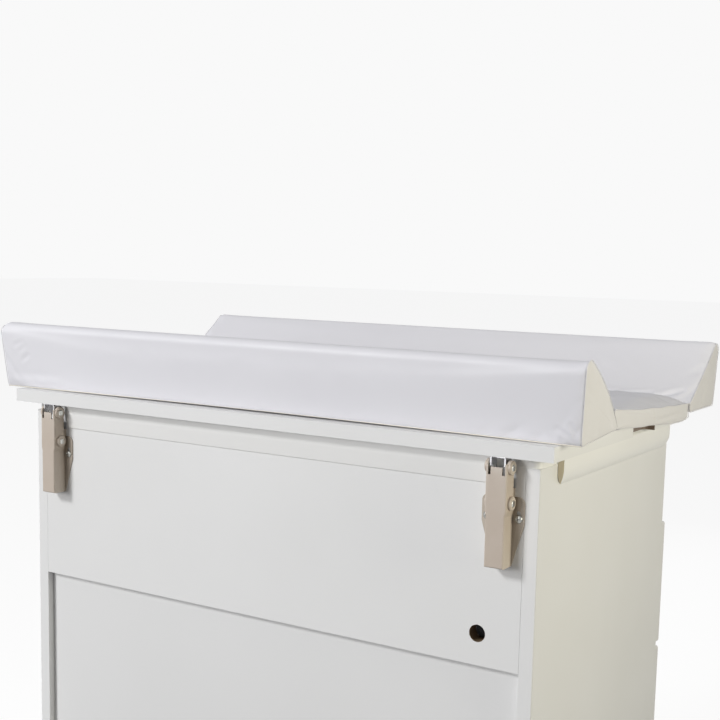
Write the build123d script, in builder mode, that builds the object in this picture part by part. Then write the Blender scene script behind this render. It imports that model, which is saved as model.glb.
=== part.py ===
from build123d import *
import math
import os

os.makedirs("parts", exist_ok=True)

# Carcass sizes in millimetres
board = 18.0
cabinet_w = 806.0
cabinet_d = 446.0
toe_h = 95.0
drawer_count = 3
front_h = 181.0
front_gap = 7.0
bath_face_h = 153.0
upper_back_h = 256.0
hardboard = 4.0
back_inset = 10.0
panel_groove = 7.0
groove_clear = 0.2
panel_gap = 0.3
edge_round = 1.5
glide_h = 5.0
glide_r = 8.0
glide_inset = 40.0
plinth_inset = 40.0
toe_clear = 2.0
apron_clear = 3.0

# Lid board and changing pad
lid_over_end = 23.5
lid_over_rear = 19.3
lid_over_front = 26.0
lid_corner_r = 20.0
lid_gap = 0.3
notch_from_back = 234.0
notch_l = 84.0
notch_d = 16.0
notch_r = 8.0
pad_end_over = 31.5
pad_front_over = 31.0
pad_rear_out = 2.0
rear_bolster_h = 97.0
front_bolster_h = 93.0
pad_end_lean = 7.0
pad_lean = 8.0
pad_shift = 8.0
pad_seat = 0.2
bolster_w = 108.0
bolster_foot_h = 13.0
crest_w = 20.0
crest_h = 15.0
brow_w = 7.0
brow_h = 3.5
rear_bulge = 5.0
front_bulge = -2.0
crest_drop = 3.0
crest_drop_l = 70.0
mattress_h = 25.0
mattress_crown = 4.0
mattress_draw = 4.0
mattress_gap = 0.3

# Bath tub
rim_h = 12.0
rim_skin = 6.0
rim_wall = 4.0
rim_inset = 1.0
rim_corner_r = 10.0
tub_wall = 3.0
rim_land_end = 58.0
rim_land_side = 48.0
mouth_r = 90.0
mouth_round = 5.0
draft_end = 50.0
draft_side = 42.5
floor_r = 75.0
tub_depth = 195.0
floor_round = 28.0
lip_wall = 2.5
lip_gap = 0.3
side_lip_out = 8.0
side_lip_h = 37.5
side_lip_from_back = 48.0
side_lip_from_front = 14.0
rear_lip_out = 5.0
rear_lip_h = 34.8
rear_lip_inset = 62.0
rear_lip_end_r = 8.0
front_lip_inset = 50.0
side_lip_end_r = 14.0
lip_roll = 0.75

# Drain and hose outlet
hose_hole_r = 10.5
hose_hole_from_side = 73.0
hose_hole_drop = 217.0
drain_from_end = 74.0
drain_from_rear = 59.5
drain_hole_r = 20.0
drain_flange_r = 29.0
drain_flange_h = 2.0
drain_bore_r = 15.0
drain_body_h = 30.0
drain_nut_r = 27.0
drain_nut_h = 8.0
spigot_r = 8.0
spigot_bore_r = 6.0
spigot_l = 42.0
spigot_drop = 21.7
plug_clear = 0.3
plug_h = 9.0
plug_taper = 0.6
plug_top_r = 21.0
plug_top_h = 3.0
plug_stem_r = 3.5
plug_knob_r = 6.0
plug_knob_h = 6.0
plug_grip_h = 14.0
plug_bevel = 1.0

# Drawers
front_clear = 1.0
front_side_clear = 1.0
front_round = 6.0
grip_w = 130.0
grip_d = 32.0
grip_r = 22.0
grip_lip_r = 8.0
box_side = 16.0
box_back = 12.0
box_rear_gap = 32.0
box_lift = 15.0
box_heights = (130.0, 130.0, 80.0)
box_bottom_up = 10.0
box_groove = 5.0
box_side_clear = 1.5
runner_h = 17.0
runner_clear = 0.3
runner_bite = 9.0
runner_front = 20.0
runner_up = 40.0
runner_r = 4.0

# Spring hinge
hinge_from_side = 44.5
sheet = 1.5
casing_w = 27.0
casing_low_w = 24.5
casing_d = 23.0
casing_top = 7.0
casing_bottom = 129.0
casing_step = 63.0
casing_round = 2.0
neck_depth = 4.5
neck_bottom = 37.0
flange_w = 54.0
flange_top = 47.0
flange_low = 79.0
flange_r = 8.0
pivot_out = 13.0
pivot_drop = 11.7
pin_r = 2.5
pin_clear = 0.08
rivet_head_r = 4.0
rivet_head_h = 1.0
rivet_bevel = 0.6
rivet_tail = 0.5
boss_r = 8.5
boss_h = 3.0
boss_bevel = 1.0
washer_r = 5.0
washer_clear = 0.1
guide_out = 10.5
guide_drop = 53.5
slot_in = 7.2
slot_out = 10.8
slot_bottom = 20.3
tab_drop = 4.2
hinge_screw_out = 20.0
hinge_screw_drop = 72.5
keyhole_rise = 7.0
keyhole_clear = 0.5
screw_r = 2.0
screw_head_r = 5.0
screw_head_h = 2.6
screw_bevel = 1.2
screw_l = 14.0
leaf_sheet = 2.0
leaf_w = 20.0
leaf_front = 46.0
leaf_web_rear = 13.0
leaf_rear = 20.0
leaf_cheek_front = 5.0
leaf_bend = 1.8
leaf_screw_r = 2.0
leaf_screw_head_r = 3.6
leaf_screw_l = 13.0
leaf_screws_at = (10.0, 34.0)
leaf_clear = 0.6
cam_reach = 10.5
cam_offset = 4.0
cam_clear = 0.3
lid_swing = 85.0
head_half = 3.5
head_h = 4.0
head_w = 19.0
head_r = 1.0
bar_w = 6.0
bar_d = 11.0
collar_r = 8.0
collar_h = 3.0
rod_r = 4.0
rod_l = 34.0
guide_clear = 0.2
spring_wire_r = 1.25
spring_r = 7.0
spring_turns = 7
spring_seat = 0.2

# Places worked out from the sizes above
cx = -pad_shift
pad_l = cabinet_w + 2 * (lid_over_end + pad_end_over)
pad_d = cabinet_d + lid_over_front + pad_front_over + pad_rear_out
hinge_reach = casing_d
pad_reach = pad_d - pad_rear_out + pad_lean
back_y = (pad_reach - hinge_reach) / 2
front_y = back_y - cabinet_d
mid_y = back_y - cabinet_d / 2
half_w = cabinet_w / 2
inner_half = half_w - board
front_pitch = front_h + front_gap
lid_z = toe_h + drawer_count * front_pitch - front_gap + bath_face_h
rim_top = lid_z - lid_gap
side_top = rim_top - rim_h
lid_top = lid_z + board
upper_back_z = lid_z - upper_back_h
bottom_top = toe_h - toe_clear
bottom_z = bottom_top - board
hardboard_y = back_y - back_inset
box_d = cabinet_d - back_inset - hardboard - box_rear_gap
runner_l = box_d - runner_front
mouth_w = cabinet_w - 2 * rim_land_end
mouth_d = cabinet_d - 2 * rim_land_side
floor_w = mouth_w - 2 * draft_end
floor_d = mouth_d - 2 * draft_side
side_lip_l = cabinet_d - side_lip_from_back - side_lip_from_front
pivot_y = back_y + pivot_out
pivot_z = lid_z - pivot_drop
sides = (("left", -1), ("right", 1))
hinge_x = {name: cx + s * (half_w - hinge_from_side) for name, s in sides}
hinge_screw_xs = [x + t * hinge_screw_out for x in hinge_x.values() for t in (-1, 1)]


def save(piece, name):
    piece.label = name
    export_step(piece, f"parts/{name}.step")


# Side panels: melamine board with a groove for the lower back
for side, s in sides:
    with BuildPart() as side_panel:
        with BuildSketch(Plane.XY.offset(glide_h)):
            with Locations((cx + s * (half_w - board / 2), mid_y)):
                Rectangle(board, cabinet_d)
        extrude(amount=side_top - glide_h)
        outer = side_panel.faces().sort_by(Axis.X)[-1 if s > 0 else 0]
        fillet(outer.edges().filter_by(Axis.Z), edge_round)
        groove_y = hardboard_y - hardboard / 2
        groove_h = upper_back_z + panel_groove - bottom_z
        with BuildSketch(Plane.XY.offset(bottom_z)):
            with Locations((cx + s * inner_half, groove_y)):
                Rectangle(2 * panel_groove, hardboard + 2 * groove_clear)
        extrude(amount=groove_h, mode=Mode.SUBTRACT)
    save(side_panel.part, f"side_panel_{side}")

# Upper back panel: carries the hinges, pierced for the drain hose
with BuildPart() as upper_back:
    with BuildSketch(Plane.XY.offset(upper_back_z)):
        with Locations((cx, back_y - board / 2)):
            Rectangle(2 * (inner_half - panel_gap), board)
    extrude(amount=side_top - upper_back_z)
    with BuildSketch(Plane.XY.offset(upper_back_z)):
        with Locations((cx, hardboard_y - hardboard / 2)):
            Rectangle(2 * inner_half, hardboard + 2 * groove_clear)
    extrude(amount=panel_groove, mode=Mode.SUBTRACT)
    with BuildSketch(Plane.XZ.offset(-back_y)):
        with Locations((cx - half_w + hose_hole_from_side, lid_z - hose_hole_drop)):
            Circle(hose_hole_r)
    extrude(amount=board, mode=Mode.SUBTRACT)
    with BuildSketch(Plane.XZ.offset(-back_y)):
        with Locations([(x, lid_z - hinge_screw_drop) for x in hinge_screw_xs]):
            Circle(screw_r)
    extrude(amount=screw_l, mode=Mode.SUBTRACT)
save(upper_back.part, "upper_back_panel")

# Lower back panel: thin hardboard in the grooves
with BuildPart() as lower_back:
    with BuildSketch(Plane.XY.offset(bottom_z)):
        with Locations((cx, hardboard_y - hardboard / 2)):
            Rectangle(2 * (inner_half + panel_groove - groove_clear), hardboard)
    extrude(amount=upper_back_z + panel_groove - groove_clear - bottom_z)
save(lower_back.part, "lower_back_panel")

# Bottom panel, plinth and the fixed face in front of the bath
with BuildPart() as bottom_panel:
    with BuildSketch(Plane.XY.offset(bottom_z)):
        with Locations((cx, (front_y + hardboard_y - hardboard) / 2)):
            Rectangle(2 * inner_half, hardboard_y - hardboard - front_y)
    extrude(amount=board)
save(bottom_panel.part, "bottom_panel")

with BuildPart() as plinth:
    with BuildSketch(Plane.XY.offset(glide_h)):
        with Locations((cx, front_y + plinth_inset + board / 2)):
            Rectangle(2 * inner_half, board)
    extrude(amount=bottom_z - glide_h)
save(plinth.part, "plinth")

with BuildPart() as bath_front:
    with BuildSketch(Plane.XY.offset(lid_z - bath_face_h + apron_clear)):
        with Locations((cx, front_y + board / 2)):
            Rectangle(2 * inner_half, board)
    extrude(amount=side_top - lid_z + bath_face_h - apron_clear)
    fillet(bath_front.edges().filter_by(Axis.X).group_by(Axis.Z)[0].sort_by(Axis.Y)[0], edge_round)
save(bath_front.part, "bath_front_panel")

# Glides under the four corners
with BuildPart() as glides:
    with BuildSketch():
        for s in (-1, 1):
            x = cx + s * (half_w - board / 2)
            with Locations((x, back_y - glide_inset), (x, front_y + glide_inset)):
                Circle(glide_r)
    extrude(amount=glide_h)
    chamfer(glides.faces().filter_by(Axis.Z).group_by(Axis.Z)[0].edges(), glide_h / 5)
save(glides.part, "floor_glides")

# Drawer runners: hard plastic strips on the side panels
front_bottoms = [toe_h + n * front_pitch for n in range(drawer_count)]
with BuildPart() as runners:
    runner_t = box_side_clear + runner_bite
    for z in front_bottoms:
        with BuildSketch(Plane.XY.offset(z + box_lift + runner_up - runner_h / 2)):
            for s in (-1, 1):
                with Locations((cx + s * (inner_half - runner_t / 2), front_y + runner_front + runner_l / 2)):
                    Rectangle(runner_t, runner_l)
        extrude(amount=runner_h)
    inner_toes = [e for e in runners.edges().filter_by(Axis.Z)
                  if abs(abs(e.center().X - cx) - (inner_half - runner_t)) < runner_clear]
    fillet(inner_toes, runner_r)
save(runners.part, "drawer_runners")

# Drawers, numbered from the bottom
for n, z in enumerate(front_bottoms):
    name = f"drawer_{n + 1}"
    box_z = z + box_lift
    box_h = box_heights[n]
    outer_half = inner_half - box_side_clear
    rear_y = front_y + box_d
    face_y = front_y - front_clear

    with BuildPart() as drawer_front:
        with BuildSketch(Plane.XZ.offset(-face_y)) as face:
            with Locations((cx, z + front_h / 2)):
                RectangleRounded(cabinet_w - 2 * front_side_clear, front_h, front_round / 2)
            with Locations((cx, z + front_h)):
                RectangleRounded(grip_w, 2 * grip_d, grip_r, mode=Mode.SUBTRACT)
            mouth = face.vertices().group_by(Axis.Y)[-1].sort_by(Axis.X)[1:-1]
            fillet(mouth, grip_lip_r)
        extrude(amount=board)
        fillet(drawer_front.faces().sort_by(Axis.Y)[0].edges(), front_round)
    save(drawer_front.part, f"{name}_front")

    for side, s in sides:
        with BuildPart() as box_wall:
            with BuildSketch(Plane.XY.offset(box_z)):
                with Locations((cx + s * (outer_half - box_side / 2), (face_y + rear_y) / 2)):
                    Rectangle(box_side, rear_y - face_y)
            extrude(amount=box_h)
            slot_y = front_y + runner_front - runner_clear
            with BuildSketch(Plane.XY.offset(box_z + runner_up - runner_h / 2 - runner_clear)):
                with Locations((cx + s * outer_half, (slot_y + rear_y) / 2)):
                    Rectangle(2 * (runner_bite + runner_clear), rear_y - slot_y)
            extrude(amount=runner_h + 2 * runner_clear, mode=Mode.SUBTRACT)
            with BuildSketch(Plane.XY.offset(box_z + box_bottom_up)):
                with Locations((cx + s * (outer_half - box_side), (face_y + rear_y) / 2)):
                    Rectangle(2 * box_groove, rear_y - face_y)
            extrude(amount=hardboard + groove_clear, mode=Mode.SUBTRACT)
        save(box_wall.part, f"{name}_side_{side}")

    wall_half = outer_half - box_side
    with BuildPart() as box_back_wall:
        back_z = box_z + box_bottom_up + hardboard + groove_clear
        with BuildSketch(Plane.XY.offset(back_z)):
            with Locations((cx, rear_y - box_back / 2)):
                Rectangle(2 * wall_half, box_back)
        extrude(amount=box_z + box_h - back_z)
    save(box_back_wall.part, f"{name}_back")

    with BuildPart() as box_bottom:
        with BuildSketch(Plane.XY.offset(box_z + box_bottom_up)):
            with Locations((cx, (face_y + rear_y) / 2)):
                Rectangle(2 * (wall_half + box_groove - groove_clear), rear_y - face_y)
        extrude(amount=hardboard)
    save(box_bottom.part, f"{name}_bottom")


# Bath tub: moulded basin with a hollow rim and rolled lips over the panels
def basin(depth, wall):
    """Closed basin form from the rim top down, larger all round by wall."""
    with BuildPart() as form:
        floor_ring = (rim_top - depth, floor_w, floor_d, floor_r)
        mouth_ring = (rim_top, mouth_w, mouth_d, mouth_r)
        for z, w, d, r in (floor_ring, mouth_ring):
            with BuildSketch(Plane.XY.offset(z)):
                with Locations((cx, mid_y)):
                    RectangleRounded(w + 2 * wall, d + 2 * wall, r + wall)
        loft()
        fillet(form.edges().group_by(Axis.Z)[0], floor_round + wall)
    return form.part


def lip(middle, outward, length, out, height, end_r):
    """Rolled lip that hangs over a panel face, hollow behind, with rounded lower ends."""
    along = Vector(*outward).cross(Vector(0, 0, 1))
    roll = lip_roll * out
    with BuildPart() as form:
        with BuildSketch(Plane(middle, x_dir=outward, z_dir=along)):
            for inset in (0, lip_wall):
                bend = (roll - inset) * math.sqrt(0.5)
                inner = lip_gap if inset else -rim_wall
                face = out - inset
                with BuildLine():
                    top = Line((inner, -inset), (out - roll, -inset))
                    shoulder = ThreePointArc(top @ 1, (out - roll + bend, bend - roll), (face, -roll))
                    drop = Line(shoulder @ 1, (face, -height / 2))
                    foot = TangentArc(drop @ 1, (lip_gap, 2 * inset - height), tangent=(0, -1))
                    if inset:
                        Line(foot @ 1, top @ 0)
                    else:
                        Polyline(foot @ 1, (lip_gap, -rim_h), (inner, -rim_h), top @ 0)
                make_face(mode=Mode.SUBTRACT if inset else Mode.ADD)
        extrude(amount=length / 2, both=True)
        with BuildSketch(Plane(middle, x_dir=along, z_dir=outward)):
            RectangleRounded(length, 2 * height, end_r)
        extrude(amount=out + rim_wall, both=True, mode=Mode.INTERSECT)
    return form.part


side_lip_y = back_y - side_lip_from_back - side_lip_l / 2
rear_lip_l = cabinet_w - 2 * rear_lip_inset
front_lip_l = cabinet_w - 2 * front_lip_inset
lips = [
    lip((cx, back_y, rim_top), (0, 1, 0), rear_lip_l, rear_lip_out, rear_lip_h, rear_lip_end_r),
    lip((cx, front_y, rim_top), (0, -1, 0), front_lip_l, rear_lip_out, rear_lip_h, rear_lip_end_r),
    lip((cx - half_w, side_lip_y, rim_top), (-1, 0, 0), side_lip_l, side_lip_out, side_lip_h, side_lip_end_r),
    lip((cx + half_w, side_lip_y, rim_top), (1, 0, 0), side_lip_l, side_lip_out, side_lip_h, side_lip_end_r),
]
tub_outside = basin(tub_depth + tub_wall, tub_wall)
tub_inside = basin(tub_depth, 0)
drain_x = cx - floor_w / 2 + drain_from_end
drain_y = mid_y + floor_d / 2 - drain_from_rear
tub_floor = rim_top - tub_depth

with BuildPart() as tub:
    with BuildSketch(Plane.XY.offset(side_top)):
        with Locations((cx, mid_y)):
            RectangleRounded(cabinet_w - 2 * rim_inset, cabinet_d - 2 * rim_inset, rim_corner_r)
    extrude(amount=rim_h)
    with BuildSketch(Plane.XY.offset(side_top)):
        with Locations((cx, mid_y)):
            hollow = rim_inset + rim_wall
            RectangleRounded(cabinet_w - 2 * hollow, cabinet_d - 2 * hollow, rim_corner_r - rim_wall)
    extrude(amount=rim_h - rim_skin, mode=Mode.SUBTRACT)
    for piece in lips:
        add(piece)
    add(tub_outside)
    add(tub_inside, mode=Mode.SUBTRACT)
    top_edges = tub.edges().group_by(Axis.Z)[-1]
    across = [e for e in top_edges if abs(e.center().X - cx) < mouth_w / 2 + rim_inset]
    fillet([e for e in across if abs(e.center().Y - mid_y) < mouth_d / 2 + rim_inset], mouth_round)
    with BuildSketch(Plane.XY.offset(tub_floor)):
        with Locations((drain_x, drain_y)):
            Circle(drain_hole_r)
    extrude(amount=-tub_wall, mode=Mode.SUBTRACT)
    with BuildSketch(Plane.XY.offset(lid_z - leaf_sheet - leaf_clear)):
        with Locations([(x, back_y - leaf_front / 2) for x in hinge_x.values()]):
            Rectangle(leaf_w + 2 * leaf_clear, leaf_front + 2 * leaf_clear)
    extrude(amount=leaf_sheet + leaf_clear, mode=Mode.SUBTRACT)
save(tub.part, "bath_tub")

# Drain: flanged body with a hose spigot towards the back, its nut and the stopper
spigot_z = tub_floor - spigot_drop
drain_bottom = tub_floor - drain_body_h
with BuildPart() as drain:
    with BuildSketch(Plane.XY.offset(tub_floor)):
        with Locations((drain_x, drain_y)):
            Circle(drain_flange_r)
    extrude(amount=drain_flange_h)
    fillet(drain.edges().group_by(Axis.Z)[-1], drain_flange_h / 2)
    with BuildSketch(Plane.XY.offset(tub_floor)):
        with Locations((drain_x, drain_y)):
            Circle(drain_hole_r - plug_clear)
    extrude(amount=-drain_body_h)
    with BuildSketch(Plane.XZ.offset(-drain_y)):
        with Locations((drain_x, spigot_z)):
            Circle(spigot_r)
    extrude(amount=-spigot_l)
    with BuildSketch(Plane.XY.offset(tub_floor + drain_flange_h)):
        with Locations((drain_x, drain_y)):
            Circle(drain_bore_r)
    extrude(amount=-drain_body_h - drain_flange_h + tub_wall, mode=Mode.SUBTRACT)
    with BuildSketch(Plane.XZ.offset(-drain_y)):
        with Locations((drain_x, spigot_z)):
            Circle(spigot_bore_r)
    extrude(amount=-spigot_l, mode=Mode.SUBTRACT)
save(drain.part, "drain_fitting")

with BuildPart() as drain_nut:
    with BuildSketch(Plane.XY.offset(tub_floor - tub_wall)):
        with Locations((drain_x, drain_y)):
            RegularPolygon(drain_nut_r, 8)
            Circle(drain_hole_r, mode=Mode.SUBTRACT)
    extrude(amount=-drain_nut_h)
save(drain_nut.part, "drain_nut")

seat_z = tub_floor + drain_flange_h
plug_r = drain_bore_r - plug_clear
with BuildPart() as plug:
    with BuildSketch(Plane((drain_x, drain_y, seat_z), x_dir=(1, 0, 0), z_dir=(0, -1, 0))):
        with BuildLine():
            knob_z = plug_grip_h - plug_knob_h
            Polyline((0, -plug_h), (plug_r - plug_taper, -plug_h), (plug_r, 0), (plug_top_r, 0),
                     (plug_top_r, plug_top_h), (plug_stem_r, plug_top_h), (plug_stem_r, knob_z),
                     (plug_knob_r, knob_z), (plug_knob_r, plug_grip_h), (0, plug_grip_h), close=True)
        make_face()
    revolve(axis=Axis((drain_x, drain_y, seat_z), (0, 0, 1)))
    outside = [plug_top_h, knob_z, plug_grip_h]
    rims = [e for e in plug.edges().filter_by(GeomType.CIRCLE)
            if e.radius > plug_stem_r and round(e.center().Z - seat_z, 3) in outside]
    chamfer(rims, plug_bevel)
save(plug.part, "drain_plug")

# Lid board with a finger notch in each end
lid_rear = back_y + lid_over_rear
lid_front = front_y - lid_over_front
with BuildPart() as lid:
    with BuildSketch(Plane.XY.offset(lid_z)) as outline:
        with Locations((cx, (lid_rear + lid_front) / 2)):
            Rectangle(cabinet_w + 2 * lid_over_end, lid_rear - lid_front)
        fillet(outline.vertices().group_by(Axis.Y)[0], lid_corner_r)
        for s in (-1, 1):
            with Locations((cx + s * (half_w + lid_over_end), back_y - notch_from_back - notch_l / 2)):
                RectangleRounded(2 * notch_d, notch_l, notch_r, mode=Mode.SUBTRACT)
    extrude(amount=board)
    leaf_screw_spots = [(x, back_y - y) for x in hinge_x.values() for y in leaf_screws_at]
    with BuildSketch(Plane.XY.offset(lid_z)):
        with Locations(leaf_screw_spots):
            Circle(leaf_screw_r)
    extrude(amount=leaf_screw_l - leaf_sheet, mode=Mode.SUBTRACT)
save(lid.part, "lid_board")

with BuildPart() as leaf_screws:
    with BuildSketch(Plane.XY.offset(lid_z - leaf_sheet)):
        with Locations(leaf_screw_spots):
            Circle(leaf_screw_r)
    extrude(amount=leaf_screw_l)
    with BuildSketch(Plane.XY.offset(lid_z - leaf_sheet)):
        with Locations(leaf_screw_spots):
            Circle(leaf_screw_head_r)
    extrude(amount=leaf_screw_head_r - leaf_screw_r, taper=45)
save(leaf_screws.part, "hinge_leaf_screws")


# Changing pad: two wedge bolsters along the long sides and a flat middle
pad_z = lid_top + pad_seat
pad_rear = back_y + pad_rear_out


def bolster(base_y, ahead, height, bulge):
    """Wedge along X: base_y is the outer foot, ahead the direction of the inner side."""
    with BuildPart() as form:
        reach = pad_l / 2 + pad_end_lean
        flat = reach - crest_drop_l
        for x, drop in ((-reach, crest_drop), (-flat, 0), (flat, 0), (reach, crest_drop)):
            top = height - drop
            crest = crest_w - pad_lean
            slope = math.atan2(bolster_w - crest, top - bolster_foot_h)
            with BuildSketch(Plane((x, base_y, pad_z), x_dir=(0, 1, 0), z_dir=(1, 0, 0))):
                with BuildLine():
                    outer = Line((0, 0), (-ahead * pad_lean, top - crest_h))
                    brow = ThreePointArc(outer @ 1, (ahead * (brow_w - pad_lean), top - brow_h),
                                         (ahead * crest, top))
                    mid_x = (crest + bolster_w) / 2 + bulge * math.cos(slope)
                    mid_z = (top + bolster_foot_h) / 2 + bulge * math.sin(slope)
                    foot = (ahead * bolster_w, bolster_foot_h)
                    inner = ThreePointArc(brow @ 1, (ahead * mid_x, mid_z), foot)
                    Polyline(inner @ 1, (ahead * bolster_w, 0), outer @ 0)
                make_face()
        loft(ruled=True)
        for s in (-1, 1):
            end = Plane((s * pad_l / 2, base_y, pad_z), x_dir=(0, 1, 0),
                        z_dir=(s * height, 0, -pad_end_lean))
            split(bisect_by=end, keep=Keep.BOTTOM)
    return form.part


save(bolster(pad_rear, -1, rear_bolster_h, rear_bulge), "pad_rear_bolster")
save(bolster(pad_rear - pad_d, 1, front_bolster_h, front_bulge), "pad_front_bolster")

with BuildPart() as mattress:
    rear_y = pad_rear - bolster_w - mattress_gap
    near_y = pad_rear - pad_d + bolster_w + mattress_gap
    with BuildSketch(Plane.YZ):
        with BuildLine():
            sole = Line((near_y, pad_z), (rear_y, pad_z))
            rise = Line(sole @ 1, (rear_y, pad_z + mattress_h - mattress_crown))
            crown = ThreePointArc(rise @ 1, ((near_y + rear_y) / 2, pad_z + mattress_h),
                                  (near_y, pad_z + mattress_h - mattress_crown))
            Line(crown @ 1, sole @ 0)
        make_face()
    extrude(amount=pad_l / 2 - mattress_draw, both=True)
    fillet(mattress.faces().filter_by(Axis.X).edges().filter_by(Axis.Z), mattress_crown)
save(mattress.part, "pad_mattress")


# Spring hinges: a pressed casing on the back, a leaf under the lid, and a spring plunger between
def cam_point(angle):
    """Point of the cam, from the pivot, whose normal stands at this angle in degrees."""
    a = math.radians(angle)
    reach = cam_reach + cam_offset * (a + math.pi / 2)
    return (reach * math.cos(a) - cam_offset * math.sin(a), reach * math.sin(a) + cam_offset * math.cos(a))


def helix_path(x, y, z, radius, rise, turns):
    """Half-turn biarcs along a helix, so that every joint is tangent."""
    slope = rise / (2 * math.pi * radius)

    def spot(a):
        return Vector(x + radius * math.cos(a), y + radius * math.sin(a), z + rise * a / (2 * math.pi))

    def aim(a):
        return Vector(-math.sin(a), math.cos(a), slope).normalized()

    arcs = []
    for k in range(2 * turns):
        a, b = k * math.pi, (k + 1) * math.pi
        p, q, t, u = spot(a), spot(b), aim(a), aim(b)
        v = q - p
        both = t + u
        gap = 2 * (1 - t.dot(u))
        d = (math.sqrt(v.dot(both) ** 2 + gap * v.dot(v)) - v.dot(both)) / gap
        joint = (p + t * d + q - u * d) * 0.5
        arcs.append((p, joint, t))
        arcs.append((joint, q, (q - u * d - p - t * d).normalized()))
    return arcs


travel = cam_offset * math.radians(lid_swing)
cam_angles = [-90 - lid_swing * k / 6 for k in range(7)]
plunger_y = back_y + guide_out
guide_z = lid_z - guide_drop
head_y = back_y + pivot_out - cam_offset
head_top = pivot_z - cam_reach - cam_clear
collar_top = guide_z - travel - 2 * pin_r - bar_w / 2
spring_top = collar_top - collar_h - spring_seat
spring_foot = lid_z - casing_bottom + sheet + spring_seat

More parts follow.
